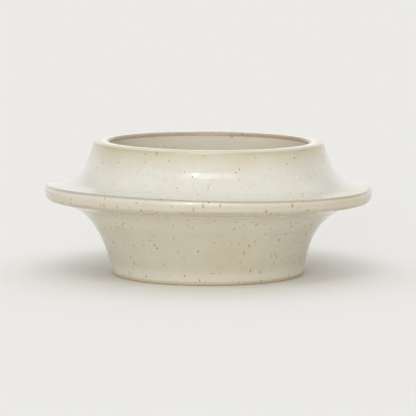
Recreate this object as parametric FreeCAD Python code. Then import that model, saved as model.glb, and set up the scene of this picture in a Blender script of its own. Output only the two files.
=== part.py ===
import FreeCAD, Part

import math
import os

# A wheel-thrown stoneware bonsai pot with a flying flange round its waist.
# Millimetres and degrees. The pot's axis is Z and it stands on the plane Z = 0.
# Headings are measured in the radial half-plane, from +R (outwards) towards +Z.

# Finished outside of the pot, glaze included.
HEIGHT = 81.2
FOOT_RADIUS = 58.5
FLANGE_RADIUS = 100.0      # at its widest
RIM_RADIUS = 69.25         # where the neck's line meets the plane of the lip
FOOT_HEADING = 81.0        # the wall leaves the foot leaning outwards
UNDERSIDE_HEADING = 10.5   # slope of the flange's underside, rising outwards
LEDGE_HEADING = 172.2      # slope of the flange's top, rising inwards
NECK_HEADING = 107.6       # the neck leans inwards as it reaches the rim
FACE_HEADING = 77.4        # the flange's edge leans outwards as it rises
UNDERSIDE_START = (91.25, 43.9)   # where the lower flare runs out into the flange
LEDGE_END = (94.9, 54.1)          # where the flange's top turns into the upper flare
SHOULDER_RADIUS = 1.6      # flange edge, top corner
BELLY_RADIUS = 3.9         # flange edge, bottom corner
LOWER_PULLS = (20.1, 22.7)   # how far each end's heading carries into the lower flare
UPPER_PULLS = (19.1, 12.0)   # and into the upper flare

# Wall, floor and foot.
WALL = 9.0
FINGER_RADIUS = 5.0        # inside corners are drawn round by the potter's finger
SPONGE_RADIUS = 1.5        # outside corners are wiped round with a sponge
FLOOR_UNDERSIDE = 3.5
FLOOR_TOP = 11.5
FOOT_RING_WIDTH = 9.0
SEAM_HEIGHT = 49.4         # the two thrown sections meet in the middle of the flange

# Glaze skin.
GLAZE = 0.4
GLAZE_LINE = 1.8           # bare clay below this, so that the foot doesn't stick in the kiln
GLAZE_INSIDE_DEPTH = 20.0  # how far the glaze runs down inside the mouth

# Holes through the floor.
DRAIN_RADIUS = 11.0
TIE_HOLE_RADIUS = 2.25
TIE_CIRCLE_RADIUS = 33.0
TIE_HOLE_COUNT = 4

# Plastic drain screen.
MESH_PITCH = 3.5
STRAND_WIDTH = 1.0
STRAND_HEIGHT = 0.8
STRAND_BOND = 0.2          # how deep crossing strands are moulded into each other
STRANDS_PER_SIDE = 14
SCREEN_GAP = 0.02

# Wire clip that holds the screen over the drain hole.
WIRE_RADIUS = 0.75
WIRE_GAP = 0.03
LEG_GAP = 0.08
LEG_BEND = 1.5
LOOP_RADIUS = 4.3
LOOP_CENTRE = 14.5
LEG_BOTTOM = 2.0

ARC_TOLERANCE = 0.05
MARGIN = 30.0              # cutting shapes run this far past what they cut
AXIS = FreeCAD.Vector(0, 0, 1)
ORIGIN = FreeCAD.Vector(0, 0, 0)


def point(radius, height):
    """A point in the radial half-plane."""
    return FreeCAD.Vector(radius, 0, height)


def heading(angle):
    """The unit vector at an angle in the radial half-plane."""
    turn = math.radians(angle)
    return point(math.cos(turn), math.sin(turn))


def meet(start, start_heading, end, end_heading):
    """Where the lines through two points cross."""
    along, across = heading(start_heading), heading(end_heading)
    gap = end - start
    reach = (gap.x * across.z - gap.z * across.x) / (along.x * across.z - along.z * across.x)
    return start + along * reach


def flare(start, start_heading, end, end_heading, pulls):
    """A smooth curve between two headings, as a chain of tangent arcs."""
    curve = Part.BezierCurve()
    before = start + heading(start_heading) * pulls[0]
    after = end - heading(end_heading) * pulls[1]
    curve.setPoles([start, before, after, end])
    return [arc.toShape() for arc in curve.toBSpline().toBiArcs(ARC_TOLERANCE)]


def fillet(before, corner, after, radius):
    """The arc that rounds a corner between two straight runs."""
    to_before = (before - corner).normalize()
    to_after = (after - corner).normalize()
    half = to_before.getAngle(to_after) / 2
    bisector = (to_before + to_after).normalize()
    centre = corner + bisector * (radius / math.sin(half))
    reach = radius / math.tan(half)
    arc = Part.Arc(corner + to_before * reach, centre - bisector * radius, corner + to_after * reach)
    return arc.toShape()


def ends(edge):
    return edge.valueAt(edge.FirstParameter), edge.valueAt(edge.LastParameter)


def straight(start, end):
    return Part.makeLine(start, end)


def face_of(edges):
    return Part.Face(Part.Wire(Part.__sortEdges__(edges)))


def band(low, high, inner=0.0):
    """A rectangle of the half-plane between two heights, reaching past the flange."""
    outer = FLANGE_RADIUS + MARGIN
    corners = [point(inner, low), point(outer, low), point(outer, high), point(inner, high)]
    return Part.Face(Part.makePolygon(corners + corners[:1]))


def flange_edge(underside, ledge):
    """Underside, edge face and top of the flange, with both corners rounded."""
    below_ledge = ledge + heading(LEDGE_HEADING + 90) * SHOULDER_RADIUS
    shoulder_centre = meet(below_ledge, LEDGE_HEADING, point(FLANGE_RADIUS - SHOULDER_RADIUS, 0), 90)
    on_face = shoulder_centre + heading(FACE_HEADING - 90) * SHOULDER_RADIUS
    belly = meet(underside, UNDERSIDE_HEADING, on_face, FACE_HEADING)
    shoulder = meet(ledge, LEDGE_HEADING, on_face, FACE_HEADING)
    lower = fillet(underside, belly, shoulder, BELLY_RADIUS)
    upper = fillet(belly, shoulder, ledge, SHOULDER_RADIUS)
    return [
        straight(underside, ends(lower)[0]), lower,
        straight(ends(lower)[1], ends(upper)[0]), upper,
        straight(ends(upper)[1], ledge),
    ]


def outside(top):
    """The pot's outside from the foot to the neck, its neck run on to a height."""
    foot = point(FOOT_RADIUS, 0)
    underside = point(*UNDERSIDE_START)
    ledge = point(*LEDGE_END)
    rim = point(RIM_RADIUS, HEIGHT)
    neck = rim - heading(NECK_HEADING) * SPONGE_RADIUS
    peak = meet(neck, NECK_HEADING, point(0, top), 0)
    edges = flare(foot, FOOT_HEADING, underside, UNDERSIDE_HEADING, LOWER_PULLS)
    edges += flange_edge(underside, ledge)
    edges += flare(ledge, LEDGE_HEADING, neck, NECK_HEADING, UPPER_PULLS)
    return edges + [straight(neck, peak)], peak


def solid_section():
    """Half-section of the pot before it is hollowed out."""
    edges, peak = outside(HEIGHT)
    middle_top, middle_bottom = point(0, HEIGHT), point(0, 0)
    edges += [
        straight(peak, middle_top),
        straight(middle_top, middle_bottom),
        straight(middle_bottom, point(FOOT_RADIUS, 0)),
    ]
    return face_of(edges)


def cavity_section():
    """Section of the planting space: the outside brought in by the wall's thickness."""
    edges, peak = outside(HEIGHT + MARGIN)
    mirrored = [edge.mirror(ORIGIN, FreeCAD.Vector(1, 0, 0)) for edge in edges]
    lid = straight(peak, point(-peak.x, peak.z))
    base = straight(point(-FOOT_RADIUS, 0), point(FOOT_RADIUS, 0))
    core = face_of(edges + mirrored + [lid, base]).makeOffset2D(-(WALL + FINGER_RADIUS))
    below_floor = band(-MARGIN, FLOOR_TOP + FINGER_RADIUS, inner=-FLANGE_RADIUS)
    return core.cut(below_floor).Faces[0].makeOffset2D(FINGER_RADIUS)


def pot_section(cavity):
    """Half-section of the finished pot, with every outside corner wiped round."""
    recess = band(-MARGIN, FLOOR_UNDERSIDE).common(band(-MARGIN, HEIGHT).cut(
        band(-MARGIN, HEIGHT, inner=FOOT_RADIUS - FOOT_RING_WIDTH)))
    drain = band(-MARGIN, HEIGHT).cut(band(-MARGIN, HEIGHT, inner=DRAIN_RADIUS))
    body = solid_section().cut([cavity, recess, drain]).Faces[0]
    return body.makeOffset2D(-SPONGE_RADIUS).makeOffset2D(SPONGE_RADIUS)


def glaze_section(pot, cavity):
    """The skin of glaze: the outside from the foot line up, over the lip, and a band inside."""
    skin = pot.cut(pot.makeOffset2D(-GLAZE))
    inner_side = cavity.makeOffset2D(WALL / 2)
    bare_inside = inner_side.common(band(0, HEIGHT - GLAZE_INSIDE_DEPTH))
    pieces = skin.common(band(GLAZE_LINE, HEIGHT + MARGIN).cut(bare_inside)).Faces
    return max(pieces, key=lambda piece: piece.Area)   # the small piece left lies under the floor


def turned(section):
    """The solid swept by a section round the pot's axis."""
    return section.Faces[0].revolve(ORIGIN, AXIS, 360).Solids[0]


def tie_holes():
    """Cutting cylinders for the holes that the tie wires pass through."""
    drill = Part.makeCylinder(TIE_HOLE_RADIUS, FLOOR_TOP + 2 * MARGIN, point(TIE_CIRCLE_RADIUS, -MARGIN))
    turn = 360 / TIE_HOLE_COUNT
    return [drill.rotated(ORIGIN, AXIS, turn * i) for i in range(TIE_HOLE_COUNT)]


def lower_bowl(clay):
    """Lower thrown section: foot ring, floor, lower wall and the flange's lower half."""
    return turned(clay.common(band(-MARGIN, SEAM_HEIGHT))).cut(tie_holes()).Solids[0]


def upper_collar(clay):
    """Upper thrown section: the flange's upper half, neck and lip."""
    return turned(clay.common(band(SEAM_HEIGHT, HEIGHT + MARGIN)))


def strand_positions():
    """Centre lines of the screen's strands, evenly spaced about the drain hole."""
    return [MESH_PITCH * (i - (STRANDS_PER_SIDE - 1) / 2) for i in range(STRANDS_PER_SIDE)]


def drain_screen():
    """Square of moulded plastic net: one layer of strands bonded across another."""
    length = MESH_PITCH * (STRANDS_PER_SIDE - 1) + STRAND_WIDTH
    base = FLOOR_TOP + SCREEN_GAP
    strands = []
    for place in strand_positions():
        low_edge = place - STRAND_WIDTH / 2
        lower = FreeCAD.Vector(low_edge, -length / 2, base)
        upper = FreeCAD.Vector(-length / 2, low_edge, base + STRAND_HEIGHT - STRAND_BOND)
        strands.append(Part.makeBox(STRAND_WIDTH, length, STRAND_HEIGHT, lower))
        strands.append(Part.makeBox(length, STRAND_WIDTH, STRAND_HEIGHT, upper))
    return strands[0].multiFuse(strands[1:]).removeSplitter().Solids[0]


def clip_path():
    """Centre line of half the clip: up a leg, round its loop and back to the axis."""
    screen_top = FLOOR_TOP + SCREEN_GAP + 2 * STRAND_HEIGHT - STRAND_BOND
    height = screen_top + WIRE_RADIUS + WIRE_GAP
    leg = DRAIN_RADIUS - WIRE_RADIUS - LEG_GAP
    lean = 2 * math.atan(LOOP_RADIUS / LOOP_CENTRE)

    def bend_point(angle):
        turn = math.radians(angle)
        return point(leg + LEG_BEND * (1 - math.cos(turn)), height - LEG_BEND * (1 - math.sin(turn)))

    def loop_point(turn):
        x = LOOP_CENTRE + LOOP_RADIUS * math.sin(turn)
        return FreeCAD.Vector(x, LOOP_RADIUS * (1 - math.cos(turn)), height)

    leg_end = point(leg, LEG_BOTTOM)
    whole_turn = math.pi + lean
    return [
        straight(leg_end, bend_point(0)),
        Part.Arc(bend_point(0), bend_point(45), bend_point(90)).toShape(),
        straight(bend_point(90), loop_point(0)),
        Part.Arc(loop_point(0), loop_point(whole_turn / 2), loop_point(whole_turn)).toShape(),
        straight(loop_point(whole_turn), point(0, height)),
    ], leg_end


def screen_clip():
    """Bent aluminium wire: a bar across the screen, a loop at each end and two sprung legs."""
    path, leg_end = clip_path()
    section = Part.Wire(Part.makeCircle(WIRE_RADIUS, leg_end, AXIS))
    half = Part.Wire(path).makePipeShell([section], True, False)
    other_half = half.rotated(ORIGIN, AXIS, 180)
    return half.fuse(other_half).removeSplitter().Solids[0]


def main():
    cavity = cavity_section()
    pot = pot_section(cavity)
    glaze = glaze_section(pot, cavity)
    clay = pot.cut(glaze)
    nodes = {
        "lower_bowl": lower_bowl(clay),
        "upper_collar": upper_collar(clay),
        "glaze": turned(glaze),
        "drain_screen": drain_screen(),
        "screen_clip": screen_clip(),
    }
    os.makedirs("parts", exist_ok=True)
    for name, shape in nodes.items():
        print(name, "valid", shape.isValid(), "volume", round(shape.Volume), "mm3")
        shape.exportStep("parts/" + name + ".step")


main()
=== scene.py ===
import math

import bpy
import numpy as np
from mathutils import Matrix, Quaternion, Vector


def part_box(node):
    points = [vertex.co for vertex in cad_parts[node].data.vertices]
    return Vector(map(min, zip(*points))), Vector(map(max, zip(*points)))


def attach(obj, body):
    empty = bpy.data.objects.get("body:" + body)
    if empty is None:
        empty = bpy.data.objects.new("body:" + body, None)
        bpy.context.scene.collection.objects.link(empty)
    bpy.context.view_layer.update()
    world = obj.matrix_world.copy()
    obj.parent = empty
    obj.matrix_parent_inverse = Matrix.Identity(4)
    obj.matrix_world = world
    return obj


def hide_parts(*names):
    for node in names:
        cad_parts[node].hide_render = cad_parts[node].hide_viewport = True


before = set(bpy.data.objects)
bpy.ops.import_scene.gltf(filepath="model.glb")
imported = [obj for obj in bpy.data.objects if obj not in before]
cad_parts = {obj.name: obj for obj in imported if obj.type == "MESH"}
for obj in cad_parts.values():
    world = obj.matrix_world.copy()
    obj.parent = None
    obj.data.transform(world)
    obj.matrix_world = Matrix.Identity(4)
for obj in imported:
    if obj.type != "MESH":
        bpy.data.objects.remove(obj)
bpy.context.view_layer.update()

# The pot is a body of revolution about Z. Outlines are drawn in its radial half-plane, as
# arrays of (radius, height) in metres. Headings are degrees from outwards towards up.
MM = 0.001
glaze_low, glaze_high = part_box("glaze")
screen_low, screen_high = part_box("drain_screen")
clip_low, clip_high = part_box("screen_clip")

# Finished outside, glaze included.
FLANGE_RADIUS = glaze_high.x
HEIGHT = glaze_high.z
GLAZE_LINE = glaze_low.z
FOOT = (58.5 * MM, 0.0)
UNDERSIDE = (91.25 * MM, 43.9 * MM)
LEDGE = (94.9 * MM, 54.1 * MM)
RIM_RADIUS = 69.6 * MM       # where the neck's line meets the lip's level
FOOT_HEADING = 81.0
UNDERSIDE_HEADING = 10.5
FACE_HEADING = 77.4
LEDGE_HEADING = 172.2
NECK_HEADING = 107.6
LOWER_PULLS = (20.1 * MM, 22.7 * MM)
UPPER_PULLS = (19.1 * MM, 12.0 * MM)
SHOULDER_RADIUS = 1.6 * MM   # round on which the flange's face and ledge are laid out
BELLY_RADIUS = 3.9 * MM
SPONGE_RADIUS = 1.5 * MM
WIPE_WIDTH = 2.1 * MM        # outer edges are wiped to a narrow facet that faces up and out
WIPE_HEADING = 117.5
SHOULDER_WIPE_RADIUS = 0.9 * MM
LIP_WIPE_RADIUS = 0.54 * MM
OUTLINE_STEP = 0.25 * MM

# Wall, floor and foot.
WALL = 9.0 * MM
FINGER_RADIUS = 5.0 * MM
GLAZE = 0.4 * MM
GLAZE_ROLL = 0.9 * MM        # the glaze rounds off over this length where it stops
GLAZE_INSIDE_DEPTH = 20.0 * MM
FLOOR_TOP = screen_low.z - 0.02 * MM
FLOOR_UNDERSIDE = 3.5 * MM
FOOT_RING_WIDTH = 9.0 * MM
SEAM_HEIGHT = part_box("lower_bowl")[1].z
DRAIN_RADIUS = 11.0 * MM
TIE_HOLE_RADIUS = 2.25 * MM
TIE_CIRCLE_RADIUS = 33.0 * MM
TIE_HOLE_COUNT = 4

# Drain screen and its clip.
STRANDS = 14
STRAND_WIDTH = 1.0 * MM
STRAND_HEIGHT = 0.8 * MM
WIRE_RADIUS = 0.75 * MM
LEG_X = DRAIN_RADIUS - WIRE_RADIUS - 0.08 * MM
LEG_BEND = 1.5 * MM
LOOP_RADIUS = 4.3 * MM
LOOP_CENTRE = 14.5 * MM

# How the hand-made pot strays from true.
RIM_LEAN = 0.0054            # the rim is lower on the right
RIM_TIP = 0.0065             # and its back is carried higher than its front
FLANGE_LEAN = 0.004          # the flange leans further the same way
FLANGE_LIFT = 0.0112         # its front edge is carried higher than its back
FLANGE_WAVE = 0.8 * MM       # its upper edge rises and dips twice round the pot
WAVE_CREST = math.radians(220)
SWAY = 0.9 * MM              # the wall wanders to the left between foot and flange
DRIFT = 0.5 * MM             # the upper half sits to the right of the foot
RING_PITCH = 2.7 * MM        # spiral of grooves left by the potter's fingers


# ---- outlines ---------------------------------------------------------------

def heading(angle):
    turn = math.radians(angle)
    return np.array([math.cos(turn), math.sin(turn)])


def meet(start, start_heading, end, end_heading):
    """Where two lines of the half-plane cross."""
    start, end = np.array(start), np.array(end)
    along, across = heading(start_heading), heading(end_heading)
    gap = end - start
    reach = (gap[0] * across[1] - gap[1] * across[0]) / (along[0] * across[1] - along[1] * across[0])
    return start + along * reach


def flare(start, start_heading, end, end_heading, pulls):
    """A smooth curve between two headings."""
    start, end = np.array(start), np.array(end)
    before = start + heading(start_heading) * pulls[0]
    after = end - heading(end_heading) * pulls[1]
    t = np.linspace(0, 1, 200)[:, None]
    near_start = (1 - t) ** 3 * start + 3 * (1 - t) ** 2 * t * before
    near_end = 3 * (1 - t) * t ** 2 * after + t ** 3 * end
    return near_start + near_end


def fillet(before, corner, after, radius, steps=12):
    """The arc that rounds a corner between two straight runs."""
    before, corner, after = np.array(before), np.array(corner), np.array(after)
    to_before = (before - corner) / np.linalg.norm(before - corner)
    to_after = (after - corner) / np.linalg.norm(after - corner)
    half = math.acos(np.clip(to_before @ to_after, -1, 1)) / 2
    reach = radius / math.tan(half)
    bisector = (to_before + to_after) / np.linalg.norm(to_before + to_after)
    centre = corner + bisector * radius / math.sin(half)
    first, last = corner + to_before * reach - centre, corner + to_after * reach - centre
    return centre + arc_between(first, last, steps)


def arc_between(first, last, steps):
    """Points swung from one spoke of a circle to another, the short way round."""
    start = math.atan2(first[1], first[0])
    turn = (math.atan2(last[1], last[0]) - start + math.pi) % (2 * math.pi) - math.pi
    angles = start + turn * np.linspace(0, 1, steps)
    return np.linalg.norm(first) * np.stack([np.cos(angles), np.sin(angles)], 1)


def wiped(before, corner, after, width, facet_heading, radius):
    """A corner wiped to a narrow facet, whose own two corners are rounded."""
    before, corner, after = np.array(before), np.array(corner), np.array(after)
    first = corner + (before - corner) / np.linalg.norm(before - corner) * width
    across, up = after - corner
    last = meet(first, facet_heading, corner, math.degrees(math.atan2(up, across)))
    return np.vstack([fillet(before, first, last, radius), fillet(first, last, after, radius)])


def flange_edge():
    """The flange's edge, with its belly rounded and its shoulder wiped."""
    below_ledge = np.array(LEDGE) + heading(LEDGE_HEADING + 90) * SHOULDER_RADIUS
    shoulder_centre = meet(below_ledge, LEDGE_HEADING, (FLANGE_RADIUS - SHOULDER_RADIUS, 0), 90)
    on_face = shoulder_centre + heading(FACE_HEADING - 90) * SHOULDER_RADIUS
    belly = meet(UNDERSIDE, UNDERSIDE_HEADING, on_face, FACE_HEADING)
    shoulder = meet(LEDGE, LEDGE_HEADING, on_face, FACE_HEADING)
    return [fillet(UNDERSIDE, belly, shoulder, BELLY_RADIUS),
            wiped(belly, shoulder, LEDGE, WIPE_WIDTH, WIPE_HEADING, SHOULDER_WIPE_RADIUS)]


def arc_length(points):
    return np.concatenate([[0], np.cumsum(np.linalg.norm(np.diff(points, axis=0), axis=1))])


def resample(points, spacing):
    """The same line with evenly spaced points, its ends kept."""
    points = np.array(points)
    steps = np.linalg.norm(np.diff(points, axis=0), axis=1)
    points = points[np.concatenate([[True], steps > 1e-9])]
    along = arc_length(points)
    wanted = np.linspace(0, along[-1], max(2, int(round(along[-1] / spacing)) + 1))
    return np.stack([np.interp(wanted, along, points[:, i]) for i in (0, 1)], 1)


def normals(points):
    """Unit normals to the right of the direction of travel: outwards, going up the outside."""
    tangent = np.gradient(points, axis=0)
    tangent /= np.linalg.norm(tangent, axis=1)[:, None]
    return np.stack([tangent[:, 1], -tangent[:, 0]], 1)


def sharpness(points, reach):
    """How sharply a line turns over past the wiped facet, from 0 to 1, smoothed over a reach."""
    along = arc_length(points)
    tangent = np.gradient(points, axis=0)
    headings = np.unwrap(np.arctan2(tangent[:, 1], tangent[:, 0]))
    turning = np.gradient(headings) / np.gradient(along)
    sharp = np.clip(turning * SPONGE_RADIUS, 0, 1) * (headings > math.radians(WIPE_HEADING))
    weight = np.exp(-((along[:, None] - along[None, :]) / reach) ** 2)
    return (weight @ sharp) / weight.sum(1)


def outside(top):
    """The finished outside from the foot to a height on the neck's line."""
    neck = np.array([RIM_RADIUS, HEIGHT]) - heading(NECK_HEADING) * SPONGE_RADIUS
    peak = meet(neck, NECK_HEADING, (0, top), 0)
    lower = flare(FOOT, FOOT_HEADING, UNDERSIDE, UNDERSIDE_HEADING, LOWER_PULLS)
    upper = flare(LEDGE, LEDGE_HEADING, neck, NECK_HEADING, UPPER_PULLS)
    return resample(np.vstack([lower, *flange_edge(), upper, [peak]]), OUTLINE_STEP)


def inside():
    """The planting space: the outside brought in by the wall, its corners drawn by a finger."""
    outer = outside(HEIGHT + WALL)
    reach = WALL + FINGER_RADIUS
    tolerance = 0.02 * MM
    core = outer - normals(outer) * reach
    gaps = np.linalg.norm(core[:, None, :] - outer[None, ::3, :], axis=2).min(1)
    free = (gaps > reach - tolerance) & (core[:, 1] > FLOOR_TOP + FINGER_RADIUS) & (core[:, 0] > 0)
    wall = outer - normals(outer) * WALL
    in_lower = free & (outer[:, 1] < SEAM_HEIGHT)
    in_upper = free & (outer[:, 1] > SEAM_HEIGHT)
    lower, upper = wall[in_lower], wall[in_upper]
    hub = core[in_lower][-1]
    groove = hub + arc_between(lower[-1] - hub, upper[0] - hub, 24)
    heel = core[in_lower][0]
    corner = heel + arc_between(np.array([0, -FINGER_RADIUS]), lower[0] - heel, 16)
    return np.vstack([corner, lower, groove, upper])


def cut_at(points, height, keep_below):
    """The part of a rising line that lies below or above a height, with a point at the cut."""
    index = int(np.argmax(points[:, 1] > height))
    a, b = points[index - 1], points[index]
    at = a + (b - a) * (height - a[1]) / (b[1] - a[1])
    return np.vstack([points[:index], [at]]) if keep_below else np.vstack([[at], points[index:]])


def finished_outline():
    """From the foot, up the outside, over the lip and down the inside to the floor's corner."""
    outer, inner = outside(HEIGHT), cut_at(inside(), HEIGHT, True)
    below_lip = -12              # a point far enough down for the lip's rounding to start above it
    outer_lip = wiped(outer[below_lip], outer[-1], inner[-1], WIPE_WIDTH, WIPE_HEADING, LIP_WIPE_RADIUS)
    inner_lip = fillet(outer[-1], inner[-1], inner[below_lip], SPONGE_RADIUS)
    outer = outer[outer[:, 1] < outer_lip[0, 1]]
    inner = inner[inner[:, 1] < inner_lip[-1, 1]]
    return resample(np.vstack([outer, outer_lip, inner_lip, inner[::-1]]), OUTLINE_STEP)


def glaze_and_clay():
    """The glaze skin's outer and inner faces, and the clay's whole outline beside them."""
    finished = finished_outline()
    outward = normals(finished)
    under = finished - outward * GLAZE
    order = np.arange(len(finished))
    going_up = order < np.argmax(finished[:, 1])
    glazed = (finished[:, 1] > GLAZE_LINE) & (going_up | (finished[:, 1] > HEIGHT - GLAZE_INSIDE_DEPTH))
    along = arc_length(finished)
    from_end = np.minimum(along - along[glazed][0], along[glazed][-1] - along)
    near_end = np.clip(from_end / GLAZE_ROLL, 0, 1)
    thickness = GLAZE * np.sqrt(np.clip(1 - (1 - near_end) ** 2, 0, 1))
    drawn_back = 0.5 * sharpness(finished, 1.1 * MM)   # melted glaze draws back from edges
    thickness *= 1 - drawn_back
    skin = under + outward * thickness[:, None]
    clay = np.where((glazed | going_up)[:, None], under, finished)
    return skin[glazed], under[glazed], clay


def rounded_path(corners, radii):
    """Straight runs through corners, each rounded by its own radius."""
    runs = [np.array(corners[:1])]
    for i, radius in enumerate(radii, start=1):
        runs.append(fillet(corners[i - 1], corners[i], corners[i + 1], radius))
    return np.vstack(runs + [np.array(corners[-1:])])


def floor_outline(start, end):
    """From the planting floor in to the drain hole, and under it out to the foot's outside."""
    ring_inside = FOOT[0] - FOOT_RING_WIDTH
    turned_corner = 1.0 * MM
    corners = [start, (DRAIN_RADIUS, FLOOR_TOP), (DRAIN_RADIUS, FLOOR_UNDERSIDE),
               (ring_inside, FLOOR_UNDERSIDE), (ring_inside, 0), (end[0], 0), end]
    radii = [SPONGE_RADIUS, SPONGE_RADIUS, turned_corner, SPONGE_RADIUS, SPONGE_RADIUS]
    return rounded_path(corners, radii)


# ---- meshes -----------------------------------------------------------------

def smooth(values, low, high):
    """A soft step from 0 at one value to 1 at another."""
    t = np.clip((values - low) / (high - low), 0, 1)
    return t * t * (3 - 2 * t)


def warp(points):
    """Moves points of the true pot to where the hand-made one has them. Its floor stays true."""
    x, y, z = points.T
    radius, angle = np.hypot(x, y), np.arctan2(y, x)
    share = np.clip(z / HEIGHT, 0, 1)
    flange = smooth(radius, 72 * MM, 96 * MM)
    upper_edge = smooth(z, 46 * MM, LEDGE[1])
    wall = smooth(radius, 40 * MM, 56 * MM)
    lean = RIM_LEAN * share ** 0.6 * x + flange * (FLANGE_LEAN * x + FLANGE_LIFT * y)
    lean -= RIM_TIP * smooth(z, LEDGE[1], HEIGHT) * y
    wave = FLANGE_WAVE * flange * upper_edge * np.cos(2 * (angle - WAVE_CREST))
    below_flange = np.sin(math.pi * np.clip(z / (50 * MM), 0, 1)) ** 2
    shift = DRIFT * share - SWAY * below_flange
    return np.stack([x + shift * wall, y, z + (wave - lean) * wall], 1)


def lathe(loop, segments, relief=None):
    """Points and faces of a closed outline turned round Z. Relief stands off it along its normals."""
    angles = np.linspace(0, 2 * math.pi, segments, endpoint=False)
    count = len(loop)
    profile = np.repeat(loop[None], segments, 0)
    if relief is not None:
        around = np.vstack([loop[-1:], loop, loop[:1]])
        profile = profile + normals(around)[1:-1][None] * relief(arc_length(loop), angles)[:, :, None]
    points = np.stack([profile[..., 0] * np.cos(angles)[:, None],
                       profile[..., 0] * np.sin(angles)[:, None], profile[..., 1]], 2)
    i, j = np.meshgrid(np.arange(segments), np.arange(count), indexing="ij")
    i2, j2 = (i + 1) % segments, (j + 1) % count
    faces = np.stack([i * count + j, i2 * count + j, i2 * count + j2, i * count + j2], 2)
    return points.reshape(-1, 3), faces.reshape(-1, 4).tolist()


def skin_over(rings):
    """Points and faces of a solid through a row of equal rings, with flat ends."""
    rings = np.array(rings)
    rows, count = rings.shape[:2]
    faces = []
    for start in range(0, (rows - 1) * count, count):
        for j in range(count):
            after = (j + 1) % count
            faces.append([start + j, start + after, start + count + after, start + count + j])
    last = (rows - 1) * count
    caps = [list(range(count - 1, -1, -1)), list(range(last, last + count))]
    return rings.reshape(-1, 3), faces + caps


def join_shells(name, shells):
    """One mesh of several closed shells."""
    points, faces, start = [], [], 0
    for shell_points, shell_faces in shells:
        points += shell_points.tolist()
        faces += [[start + corner for corner in face] for face in shell_faces]
        start += len(shell_points)
    mesh = bpy.data.meshes.new(name)
    mesh.from_pydata(points, [], faces)
    return mesh


def add_piece(mesh, body, replaced, material, sharp=40):
    """Links a mesh as a piece that rides on a body and stands for a CAD node."""
    piece = bpy.data.objects.new(mesh.name, mesh)
    bpy.context.scene.collection.objects.link(piece)
    mesh.materials.append(material)
    mesh.shade_smooth()
    mesh.set_sharp_from_angle(angle=math.radians(sharp))
    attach(piece, body)
    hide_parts(replaced)
    return piece


def set_attribute(mesh, name, values):
    """Stores one number for each point of a mesh, for its material to read."""
    attribute = mesh.attributes.new(name, "FLOAT", "POINT")
    attribute.data.foreach_set("value", np.ascontiguousarray(values, dtype=float))


def rings(along, angles, pitch, turns):
    """A spiral groove, deeper on some sides of the pot than on others."""
    phase = 2 * math.pi * along[None, :] / pitch + turns * angles[:, None]
    swell = 0.6 + 0.4 * np.sin(angles[:, None] * 2 + along[None, :] / (11 * MM))
    return np.sin(phase) * swell


def lumps(along, angles, seed):
    """Slow unevenness, as of a hand-poured glaze."""
    chance = np.random.default_rng(seed)
    waves, most_turns = 16, 10
    total = np.zeros((len(angles), len(along)))
    for _ in range(waves):
        turns, phase = chance.integers(1, most_turns + 1), chance.uniform(0, 2 * math.pi)
        length = chance.uniform(14, 45) * MM
        total += np.sin(turns * angles[:, None] + 2 * math.pi * along[None, :] / length + phase)
    return total / math.sqrt(waves)


def glaze_relief(outer_count):
    """Relief of the glaze's outer face: faint throwing rings under slow unevenness."""
    fading_points = 5

    def relief(along, angles):
        stand = rings(along, angles, RING_PITCH, 1) * 0.016 * MM
        stand += rings(along, angles, 1.7 * RING_PITCH, -1) * 0.022 * MM
        stand += lumps(along, angles, 5) * 0.035 * MM
        index = np.arange(len(along))
        ends = np.clip(np.minimum(index, outer_count - 1 - index) / fading_points, 0, 1)
        return stand * ends[None, :]
    return relief


def clay_relief(along, angles):
    """Relief of the bare clay: throwing rings that the glaze would have filled."""
    return rings(along, angles, 2 * RING_PITCH, 1) * 0.07 * MM + lumps(along, angles, 9) * 0.05 * MM


def wavy_line(points):
    """Lets the glaze's lower end wander, and run a little below its CAD line."""
    angle = np.arctan2(points[:, 1], points[:, 0])
    near_line = np.exp(-np.clip(points[:, 2] - GLAZE_LINE, 0, None) / (1.5 * MM))
    wander = 0.15 * np.sin(3 * angle + 1) + 0.1 * np.sin(7 * angle) - 0.75
    points[:, 2] += near_line * MM * wander


def glaze_zones(outer, inner):
    """Where the glaze breaks over an edge, runs thinner or lies inside, point by point of its outline. The
    band on the flange's belly is partly painted shade.
    """
    radius, height = np.vstack([outer, inner]).T
    inside_lip = np.arange(len(height)) > np.argmax(height)
    edge = np.concatenate([sharpness(outer, 0.9 * MM), np.zeros(len(inner))])
    edge *= inside_lip | (height < LEDGE[1] + 3 * MM)          # the lip's outer edge stays pale
    # the flange's belly, where it turns under: partly thinner glaze, partly painted shade
    above_underside = height - UNDERSIDE[1]
    belly = np.exp(-((above_underside - 2.3 * MM) / (1.1 * MM)) ** 2) * (radius > UNDERSIDE[0])
    below_lip = HEIGHT - 1.0 * MM - height
    under_lip = np.exp(-below_lip / (1.5 * MM)) * (below_lip > 0) * ~inside_lip
    return {"edge": edge, "thin_and_shaded": belly + 1.5 * under_lip, "inside_lip": inside_lip}


def make_glaze(material):
    """The glaze skin, from the foot line over the lip to where it stops inside."""
    skin, under, _ = glaze_and_clay()
    outer = resample(skin, 0.45 * MM)
    inner = resample(under[::-1], 3.0 * MM)[1:-1]
    segments = 256
    points, faces = lathe(np.vstack([outer, inner]), segments, glaze_relief(len(outer)))
    wavy_line(points)
    mesh = join_shells("glaze_skin", [(warp(points), faces)])
    for name, values in glaze_zones(outer, inner).items():
        set_attribute(mesh, name, np.tile(values, segments))
    return add_piece(mesh, "pot", "glaze", material)


def close(points):
    """The same line, ended where it starts."""
    return np.vstack([points, points[:1]])


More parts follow.
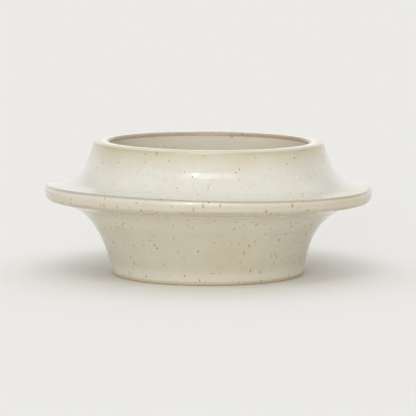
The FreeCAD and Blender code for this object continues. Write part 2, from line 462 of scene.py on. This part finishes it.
def clay_loops():
    """Closed outlines of the two thrown sections, split at the seam."""
    _, _, clay = glaze_and_clay()
    top = int(np.argmax(clay[:, 1]))
    outer, inner = clay[:top], clay[top:][::-1]
    foot_top = cut_at(outer, 2 * SPONGE_RADIUS, False)
    floor = floor_outline(inner[0], foot_top[0])
    bowl = [floor, cut_at(foot_top, SEAM_HEIGHT, True), cut_at(inner, SEAM_HEIGHT, True)[::-1]]
    collar = [cut_at(outer, SEAM_HEIGHT, False), cut_at(inner, SEAM_HEIGHT, False)[::-1]]
    return [resample(close(np.vstack(runs)), 0.62 * MM)[:-1] for runs in (bowl, collar)]


def relief_weight(height):
    """No relief where the two sections meet, and none on the foot and floor."""
    return np.clip(np.abs(height - SEAM_HEIGHT) / (1 * MM), 0, 1) * smooth(height, 12 * MM, 18 * MM)


def make_clay(material):
    """The fired clay: the lower bowl with its drilled floor, and the upper collar."""
    segments = 224
    for name, node, loop in zip(("bowl_clay", "collar_clay"), ("lower_bowl", "upper_collar"), clay_loops()):
        weight = relief_weight(loop[:, 1])[None, :]
        points, faces = lathe(loop, segments, lambda along, angles: clay_relief(along, angles) * weight)
        mesh = join_shells(name, [(warp(points), faces)])
        piece = add_piece(mesh, "pot", node, material)
        if node == "lower_bowl":
            drill(piece)


def drill(piece):
    """Cuts the tie holes, with their mouths softened."""
    flare_out, depth = 0.7 * MM, 0.8 * MM
    below = [(3 * flare_out, FLOOR_UNDERSIDE - 2 * depth), (flare_out, FLOOR_UNDERSIDE)]
    bore = [(0, FLOOR_UNDERSIDE + depth), (0, FLOOR_TOP - depth)]
    above = [(flare_out, FLOOR_TOP), (3 * flare_out, FLOOR_TOP + 2 * depth)]
    circle = np.linspace(0, 2 * math.pi, 48, endpoint=False)
    cutters = []
    for place in np.arange(TIE_HOLE_COUNT) * 2 * math.pi / TIE_HOLE_COUNT:
        middle = np.array([math.cos(place), math.sin(place), 0]) * TIE_CIRCLE_RADIUS
        rows = []
        for widening, height in below + bore + above:
            radius = TIE_HOLE_RADIUS + widening
            level = np.full(len(circle), height)
            rows.append(middle + np.stack([np.cos(circle) * radius, np.sin(circle) * radius, level], 1))
        cutters.append(skin_over(rows))
    tool = bpy.data.objects.new("tie_drill", join_shells("tie_drill", cutters))
    bpy.context.scene.collection.objects.link(tool)
    cut = piece.modifiers.new("holes", "BOOLEAN")
    cut.object = tool
    cut.solver = "EXACT"
    bpy.context.view_layer.update()
    drilled = bpy.data.meshes.new_from_object(piece.evaluated_get(bpy.context.evaluated_depsgraph_get()))
    piece.modifiers.remove(cut)
    piece.data = drilled
    bpy.data.objects.remove(tool)


def strand(start, end, half_width, low, high):
    """One strand of net between two points, rounded in section and at its ends."""
    run = np.array(end) - np.array(start)
    length = np.linalg.norm(run)
    run /= length
    across = np.array([-run[1], run[0]])
    turn = np.linspace(0, 2 * math.pi, 16, endpoint=False)
    corner = 0.55                                   # 1 is an ellipse, 0 a rectangle
    side = np.sign(np.cos(turn)) * np.abs(np.cos(turn)) ** corner
    rise = np.sign(np.sin(turn)) * np.abs(np.sin(turn)) ** corner
    taper = [(0, 0.6), (0.004, 0.9), (0.01, 1)]     # share of the length, and size there
    full = [(0.25, 1), (0.5, 1), (0.75, 1)]
    rows = []
    for share, size in taper + full + [(1 - share, size) for share, size in reversed(taper)]:
        middle = np.array(start) + run * length * share
        flat = middle[None, :] + across[None, :] * (side * half_width * size)[:, None]
        level = (low + high) / 2 + rise * (high - low) / 2 * size
        rows.append(np.column_stack([flat, level]))
    return skin_over(rows)


def make_net(material):
    """The moulded net over the drain hole: one layer of strands bonded across another."""
    half = screen_high.x
    places = np.linspace(-half + STRAND_WIDTH / 2, half - STRAND_WIDTH / 2, STRANDS)
    low, high = screen_low.z, screen_high.z
    shells = []
    for place in places:
        shells.append(strand((place, -half), (place, half), STRAND_WIDTH / 2, low, low + STRAND_HEIGHT))
        shells.append(strand((half, place), (-half, place), STRAND_WIDTH / 2, high - STRAND_HEIGHT, high))
    mesh = join_shells("drain_net", shells)
    return add_piece(mesh, "screen", "drain_screen", material)


def clip_line():
    """Half the clip's centre line: up a leg, over its bend, round its loop and back to the axis."""
    height = clip_high.z - WIRE_RADIUS
    bend = np.linspace(0, math.pi / 2, 9)
    loop_turn = math.pi + 2 * math.atan(LOOP_RADIUS / LOOP_CENTRE)
    turn = np.linspace(0, loop_turn, 40)
    leg = [(LEG_X, 0, z) for z in np.linspace(clip_low.z, height - LEG_BEND, 8)[:-1]]
    elbow = [(LEG_X + LEG_BEND * (1 - math.cos(a)), 0, height - LEG_BEND * (1 - math.sin(a)))
             for a in bend]
    loop = [(LOOP_CENTRE + LOOP_RADIUS * math.sin(a), LOOP_RADIUS * (1 - math.cos(a)), height)
            for a in turn]
    points = np.array(leg + elbow + loop)
    bar = np.linspace(points[-1], [0, 0, height], 10)[1:]
    return np.vstack([points, bar])


def make_clip(material):
    """Bent wire: a bar across the net, a loop at each end and two legs down the drain hole."""
    half = clip_line()
    line = np.vstack([half, (half[:-1] * [-1, -1, 1])[::-1]])
    tangent = np.gradient(line, axis=0)
    tangent /= np.linalg.norm(tangent, axis=1)[:, None]
    side = np.array([0.0, 1.0, 0.0])
    circle = np.linspace(0, 2 * math.pi, 20, endpoint=False)
    cut_radius, cut_depth = 0.8 * WIRE_RADIUS, 0.12 * MM      # the cut ends are chamfered
    rows = []
    for place, (middle, ahead) in enumerate(zip(line, tangent)):
        side = side - ahead * (side @ ahead)
        side /= np.linalg.norm(side)
        other = np.cross(ahead, side)
        spokes = np.cos(circle)[:, None] * side + np.sin(circle)[:, None] * other
        if place == 0:
            rows += [middle + spokes * cut_radius, middle + ahead * cut_depth + spokes * WIRE_RADIUS]
        elif place == len(line) - 1:
            rows += [middle - ahead * cut_depth + spokes * WIRE_RADIUS, middle + spokes * cut_radius]
        else:
            rows.append(middle + spokes * WIRE_RADIUS)
    mesh = join_shells("wire_clip", [skin_over(rows)])
    return add_piece(mesh, "clip", "screen_clip", material)


# ---- materials --------------------------------------------------------------

# Linear colours.
CREAM = (0.69, 0.67, 0.60)
# warm cream of thinner glaze, also painted shade near the rim and on the lower body
WARM_CREAM = (0.605, 0.545, 0.405)
# pale of pooled glaze, also painted light under the flange, near the foot and inside
POOL_AND_PAINTED_LIGHT = (0.84, 0.81, 0.71)
SMOKE = (0.40, 0.36, 0.30)
CELADON = (0.585, 0.585, 0.495)
TAN = (0.58, 0.47, 0.32)
BREAK = (0.43, 0.32, 0.20)
FRECKLE = (0.36, 0.26, 0.11)
IRON = (0.07, 0.045, 0.03)
CLAY_LIGHT = (0.70, 0.62, 0.48)
CLAY_DARK = (0.60, 0.51, 0.38)
CLAY_PALE = (0.76, 0.70, 0.57)
TOAST = (0.62, 0.47, 0.26)
NET_BLACK = (0.016, 0.02, 0.018)
NET_WORN = (0.035, 0.042, 0.036)
NET_DUST = (0.16, 0.14, 0.11)
WIRE_DARK = (0.23, 0.135, 0.08)
WIRE_LIGHT = (0.36, 0.23, 0.14)
WIRE_RUBBED = (0.62, 0.56, 0.50)

# Heights over which the glaze thins, pools or rolls off, each from none to full. The thinning bands also
# carry painted shade, the pooling bands painted light.
THIN_AND_SHADED_NECK = (66 * MM, 80 * MM)
THIN_AND_SHADED_BELOW = (57 * MM, 49 * MM)
POOLED_AND_LIT_FLARE = (30 * MM, 38 * MM)
POOLED_AND_LIT_FLARE_END = (46 * MM, 43 * MM)
POOLED_AND_LIT_FOOT = (11 * MM, 4 * MM)
FOOT_ROLL = (GLAZE_LINE + 0.8 * MM, GLAZE_LINE - 0.6 * MM)


class Surface:
    """A material's node tree, with short ways to add and join nodes."""

    def __init__(self, name):
        self.material = bpy.data.materials.new(name)
        self.material.use_nodes = True
        self.tree = self.material.node_tree
        self.shader = self.tree.nodes["Principled BSDF"]
        self.place = self.node("ShaderNodeTexCoord").outputs["Object"]

    def node(self, kind, inputs=None, **settings):
        node = self.tree.nodes.new(kind)
        for key, value in settings.items():
            setattr(node, key, value)
        for key, value in (inputs or {}).items():
            self.feed(node.inputs[key], value)
        return node

    def feed(self, socket, value):
        if isinstance(value, bpy.types.NodeSocket):
            self.tree.links.new(value, socket)
        elif socket.type == "RGBA" and len(value) == 3:
            socket.default_value = (*value, 1)
        else:
            socket.default_value = value

    def set(self, **values):
        """Feeds the shader's inputs, with underscores in place of spaces."""
        for key, value in values.items():
            self.feed(self.shader.inputs[key.replace("_", " ")], value)

    def math(self, operation, a, b=0.0, c=0.0, clamp=False):
        inputs = {0: a, 1: b, 2: c}
        return self.node("ShaderNodeMath", inputs, operation=operation, use_clamp=clamp).outputs[0]

    def step(self, value, low, high, out_low=0.0, out_high=1.0):
        """A soft step between two values, clamped."""
        inputs = {"Value": value, "From Min": low, "From Max": high, "To Min": out_low, "To Max": out_high}
        return self.node("ShaderNodeMapRange", inputs, interpolation_type="SMOOTHSTEP").outputs["Result"]

    def mix(self, share, a, b):
        node = self.node("ShaderNodeMix", data_type="RGBA")
        self.feed(node.inputs["Factor"], share)
        self.feed(node.inputs[6], a)
        self.feed(node.inputs[7], b)
        return node.outputs[2]

    def stretched(self, stretch):
        inputs = {0: self.place, 1: stretch}
        return self.node("ShaderNodeVectorMath", inputs, operation="MULTIPLY").outputs[0]

    def noise(self, size, stretch=(1, 1, 1), detail=3.0, roughness=0.5):
        """Noise with features of a size in metres, between 0 and 1."""
        inputs = {"Scale": 1 / size, "Detail": detail, "Roughness": roughness}
        return self.node("ShaderNodeTexNoise", {"Vector": self.stretched(stretch), **inputs}).outputs["Fac"]

    def coordinate(self, axis):
        return self.node("ShaderNodeSeparateXYZ", {0: self.place}).outputs[axis]

    def attribute(self, name):
        return self.node("ShaderNodeAttribute", attribute_name=name).outputs["Fac"]

    def specks(self, spacing, radius, share, softness, stretch=(1, 1, 1)):
        """Soft spots at chance places: 1 inside, 0 outside. Share is how many cells hold one."""
        cells = self.node("ShaderNodeTexVoronoi", {"Vector": self.stretched(stretch), "Scale": 1 / spacing})
        chance = self.node("ShaderNodeSeparateColor", {0: cells.outputs["Color"]})
        size = self.math("MULTIPLY_ADD", chance.outputs[1], 0.9 * radius / spacing, 0.4 * radius / spacing)
        inner = self.math("MULTIPLY", size, 1 - softness)
        spot = self.step(cells.outputs["Distance"], size, inner)
        present = self.math("LESS_THAN", chance.outputs[0], share)
        return self.math("MULTIPLY", spot, present)

    def bump(self, height, distance, normal=None):
        inputs = {"Height": height, "Distance": distance, "Strength": 1.0}
        if normal is not None:
            inputs["Normal"] = normal
        return self.node("ShaderNodeBump", inputs).outputs["Normal"]


def glaze_body(s):
    """The glaze's colour by thickness and height: cool where thick, warm where thinner, pale where it
    pools. The warm bands are partly painted shade, the pale bands partly painted light.
    """
    z = s.coordinate("Z")
    cloud = s.noise(22 * MM, detail=2)
    mottle = s.noise(5 * MM, stretch=(1, 1, 0.6), detail=4, roughness=0.6)
    grain = s.noise(0.8 * MM, detail=2)

    # warm bands: partly thinner glaze, partly painted shade near the rim and on the lower body
    thin_and_shaded_neck = s.math("MULTIPLY", s.step(z, *THIN_AND_SHADED_NECK), 0.85)
    thin_and_shaded_below = s.math("MULTIPLY", s.step(z, *THIN_AND_SHADED_BELOW), 0.8)
    clouded = s.math("MULTIPLY_ADD", cloud, 0.9, -0.45)
    warm = s.math("ADD", s.math("ADD", thin_and_shaded_neck, thin_and_shaded_below), clouded, clamp=True)
    body = s.mix(warm, CREAM, WARM_CREAM)
    body = s.mix(s.step(mottle, 0.45, 0.75, 0, 0.5), body, CELADON)
    body = s.mix(s.step(mottle, 0.5, 0.25, 0, 0.28), body, TAN)
    body = s.mix(s.step(grain, 0.55, 0.8, 0, 0.12), body, TAN)

    # pale bands: partly pooled glaze, partly painted light under the flange and near the foot
    pooled_and_lit_flare = s.math("MULTIPLY", s.step(z, *POOLED_AND_LIT_FLARE, 0, 0.25), s.step(z, *POOLED_AND_LIT_FLARE_END))
    pooled_and_lit = s.math("MAXIMUM", pooled_and_lit_flare, s.step(z, *POOLED_AND_LIT_FOOT, 0, 0.45))
    # the whole inside is painted pale: partly pooled glaze, partly painted light
    return s.mix(s.math("MAXIMUM", pooled_and_lit, s.attribute("inside_lip")), body, POOL_AND_PAINTED_LIGHT)


def glaze_breaks(s, body):
    """Clay showing where the glaze runs off an edge: smoky on the left, toasted on the right. On the
    flange's belly the tan is partly painted shade.
    """
    edge = s.attribute("edge")
    patch = s.noise(30 * MM, detail=1)
    to_right = s.math("MULTIPLY_ADD", patch, 60 * MM, s.coordinate("X"))
    broken = s.mix(s.step(to_right, -20 * MM, 60 * MM), SMOKE, BREAK)
    body = s.mix(s.step(edge, 0.06, 0.6, 0, 0.85), body, broken)
    inner_lip = s.math("MULTIPLY", s.attribute("inside_lip"), s.step(edge, 0.1, 0.6, 0, 0.5))
    body = s.mix(inner_lip, body, BREAK)
    # tan where the glaze runs thinner below the lip and on the belly, where it is also painted shade
    thin_and_shaded = s.math("MULTIPLY", s.attribute("thin_and_shaded"), s.step(patch, 0.3, 0.6, 0.2, 0.5))
    body = s.mix(thin_and_shaded, body, BREAK)
    return s.mix(s.step(s.coordinate("Z"), *FOOT_ROLL, 0, 0.45), body, BREAK)


def glaze_iron(s, body):
    """Iron in the glaze: runny freckles, dark specks and fine dust. Returns the specks as well."""
    freckle_share = s.math("MULTIPLY_ADD", s.step(s.coordinate("Z"), *THIN_AND_SHADED_BELOW), 0.48, 0.07)
    freckle = s.specks(3.0 * MM, 0.95 * MM, freckle_share, softness=0.85, stretch=(1, 1, 0.48))
    body = s.mix(s.math("MULTIPLY", freckle, 0.8), body, FRECKLE)
    speck_share = s.math("MULTIPLY_ADD", s.attribute("edge"), 0.5, 0.11)
    speck = s.specks(2.3 * MM, 0.52 * MM, speck_share, softness=0.5)
    body = s.mix(s.math("MULTIPLY", speck, 0.88), body, IRON)
    dust = s.specks(1.5 * MM, 0.25 * MM, 0.16, softness=0.6)
    return s.mix(s.math("MULTIPLY", dust, 0.55), body, IRON), speck


def glaze_surface():
    """Gloss cream glaze over iron-bearing clay, a little uneven, with pits at the specks."""
    s = Surface("cream_glaze")
    body, speck = glaze_iron(s, glaze_breaks(s, glaze_body(s)))
    wave = s.bump(s.noise(7 * MM, detail=1), 0.06 * MM)
    peel = s.bump(s.noise(1.6 * MM, detail=2), 0.006 * MM, wave)
    pits = s.bump(s.math("SUBTRACT", 1.0, speck), 0.03 * MM, peel)
    s.set(Base_Color=body, Roughness=s.math("MULTIPLY_ADD", speck, 0.25, 0.09), IOR=1.52, Normal=pits)
    return s.material


def clay_surface():
    """Bare fired stoneware: sandy, matt, with iron grog, and toasted by the fire at the foot."""
    s = Surface("stoneware")
    cloud = s.noise(18 * MM, detail=3)
    sand = s.noise(0.9 * MM, detail=4, roughness=0.7)
    body = s.mix(cloud, CLAY_LIGHT, CLAY_DARK)
    body = s.mix(s.step(sand, 0.5, 0.72, 0, 0.5), body, CLAY_PALE)
    flashing = s.step(s.coordinate("Z"), 4 * MM, 0, 0, 0.5)
    body = s.mix(flashing, body, TOAST)
    grog = s.specks(1.8 * MM, 0.3 * MM, 0.3, softness=0.5)
    body = s.mix(s.math("MULTIPLY", grog, 0.75), body, IRON)
    rough = s.bump(sand, 0.09 * MM)
    drag = s.bump(s.noise(1.2 * MM, stretch=(0.15, 0.15, 1), detail=3), 0.05 * MM, rough)
    s.set(Base_Color=body, Roughness=0.86, IOR=1.45, Normal=drag)
    return s.material


def net_surface():
    """Moulded polyethylene: near black, slightly waxy, with dust in it."""
    s = Surface("net_plastic")
    worn = s.noise(4 * MM, detail=4)
    body = s.mix(worn, NET_BLACK, NET_WORN)
    dust = s.step(s.noise(0.7 * MM, detail=3), 0.6, 0.8, 0, 0.5)
    body = s.mix(dust, body, NET_DUST)
    s.set(Base_Color=body, Roughness=s.step(worn, 0.3, 0.7, 0.38, 0.6), Normal=s.bump(worn, 0.03 * MM))
    return s.material


def wire_surface():
    """Brown anodised aluminium, rubbed bright where the pliers held it."""
    s = Surface("clip_wire")
    scratch = s.noise(0.5 * MM, stretch=(0.25, 1, 1), detail=4)
    rubbed = s.step(s.noise(3 * MM, detail=4), 0.62, 0.75, 0, 0.55)
    body = s.mix(scratch, WIRE_DARK, WIRE_LIGHT)
    body = s.mix(rubbed, body, WIRE_RUBBED)
    rough = s.step(scratch, 0.3, 0.7, 0.28, 0.5)
    s.set(Base_Color=body, Metallic=0.9, Roughness=rough, Normal=s.bump(scratch, 0.01 * MM))
    return s.material


make_glaze(glaze_surface())
make_clay(clay_surface())
make_net(net_surface())
make_clip(wire_surface())


# ---- stage ------------------------------------------------------------------

FLOOR_COLOR = (0.845, 0.84, 0.825)
LIGHT_COLOR = (1.0, 0.995, 0.985)

# Brightness of the studio's parts.
CEILING = 1.0
SIDES = 0.35
BACKDROP = 1.0
SWEEP = 0.86

# Soft lights on the camera's side: azimuth, elevation, half width and half height in degrees,
# then brightness.
LOW_FRONT = (-6, 6, 16, 5, 4.4)
FRONT = (-10, 14, 18, 7, 3.6)
NECK_BAND = (0, 53, 19, 7, 2.2)
NECK_SPOT = (-14, 50, 2.3, 2.1, 14)
NECK_PATCH = (0, 57, 4, 2.6, 4.0)

CAMERA_DISTANCE = 1.5142
CAMERA_ELEVATION = math.radians(6.29)
CAMERA_AIM = 39.8 * MM
CAMERA_ROLL = math.radians(0.126)
VIEW_WIDTH = 254.0768 * MM   # how much the picture's width takes in at the pot's axis
SENSOR = 36.0


def make_floor():
    """A pale matt floor that runs back past the top of the picture."""
    size = 40.0
    corners = [(-size, -size, 0), (size, -size, 0), (size, size, 0), (-size, size, 0)]
    mesh = bpy.data.meshes.new("floor")
    mesh.from_pydata(corners, [], [(0, 1, 2, 3)])
    floor = bpy.data.objects.new("floor", mesh)
    bpy.context.scene.collection.objects.link(floor)
    s = Surface("plaster")
    s.set(Base_Color=FLOOR_COLOR, Roughness=0.95, Specular_IOR_Level=0.1)
    mesh.materials.append(s.material)


class Sky:
    """The studio around the pot, as brightness by direction."""

    def __init__(self):
        world = bpy.data.worlds.new("studio")
        bpy.context.scene.world = world
        world.use_nodes = True
        self.tree = world.node_tree
        self.total = None
        self.toward = self.node("ShaderNodeTexCoord").outputs["Generated"]

    node = Surface.node
    feed = Surface.feed
    math = Surface.math
    step = Surface.step

    def along(self, vector):
        inputs = {0: self.toward, 1: vector}
        return self.node("ShaderNodeVectorMath", inputs, operation="DOT_PRODUCT").outputs["Value"]

    def add(self, value):
        self.total = value if self.total is None else self.math("ADD", self.total, value)

    def softbox(self, azimuth, elevation, half_width, half_height, brightness, feather=1.25):
        """A rectangle of light. Azimuth runs from the camera's side towards the right."""
        turn, tilt = math.radians(azimuth), math.radians(elevation)
        ahead = (math.sin(turn) * math.cos(tilt), -math.cos(turn) * math.cos(tilt), math.sin(tilt))
        right = (math.cos(turn), math.sin(turn), 0)
        up = (-math.sin(turn) * math.sin(tilt), math.cos(turn) * math.sin(tilt), math.cos(tilt))
        depth = self.math("MAXIMUM", self.along(ahead), 0.05)
        value = brightness
        for vector, half in ((right, half_width), (up, half_height)):
            reach = math.tan(math.radians(half))
            offset = self.math("ABSOLUTE", self.math("DIVIDE", self.along(vector), depth))
            side = self.step(offset, reach * feather, reach / feather)
            value = self.math("MULTIPLY", value, side)
        self.add(value)

    def finish(self, color):
        shine = self.tree.nodes["Background"]
        self.feed(shine.inputs["Color"], color)
        self.feed(shine.inputs["Strength"], self.total)


def make_world():
    """A white studio with dimmer sides, a white sweep low down, a backdrop and soft lights."""
    sky = Sky()
    height = sky.along((0, 0, 1))
    sky.add(sky.step(height, 0.25, 0.9, SIDES, CEILING))
    sweep = sky.step(height, 0.15, 0.07, 0, SWEEP - SIDES)
    behind = sky.step(sky.along((0, 1, 0)), 0.3, 0.8)
    backdrop = sky.math("MULTIPLY", behind, sky.step(height, 0.5, 0.25, 0, BACKDROP - SIDES))
    sky.add(sky.math("MAXIMUM", sweep, backdrop))
    for light in (FRONT, LOW_FRONT, NECK_BAND, NECK_SPOT, NECK_PATCH):
        sky.softbox(*light)
    sky.finish(LIGHT_COLOR)


def make_camera():
    """A long lens, a little above the pot and aimed at its middle."""
    data = bpy.data.cameras.new("camera")
    camera = bpy.data.objects.new("camera", data)
    bpy.context.scene.collection.objects.link(camera)
    back = Vector((0, -math.cos(CAMERA_ELEVATION), math.sin(CAMERA_ELEVATION)))
    camera.location = Vector((0, 0, CAMERA_AIM)) + back * CAMERA_DISTANCE
    camera.rotation_mode = "QUATERNION"
    camera.rotation_quaternion = (-back).to_track_quat("-Z", "Y") @ Quaternion((0, 0, 1), CAMERA_ROLL)
    data.sensor_width = SENSOR
    data.lens = SENSOR * CAMERA_DISTANCE / VIEW_WIDTH
    data.clip_start, data.clip_end = 0.1, 100
    bpy.context.scene.camera = camera


make_floor()
make_world()
make_camera()
bpy.context.scene.view_settings.view_transform = "Standard"
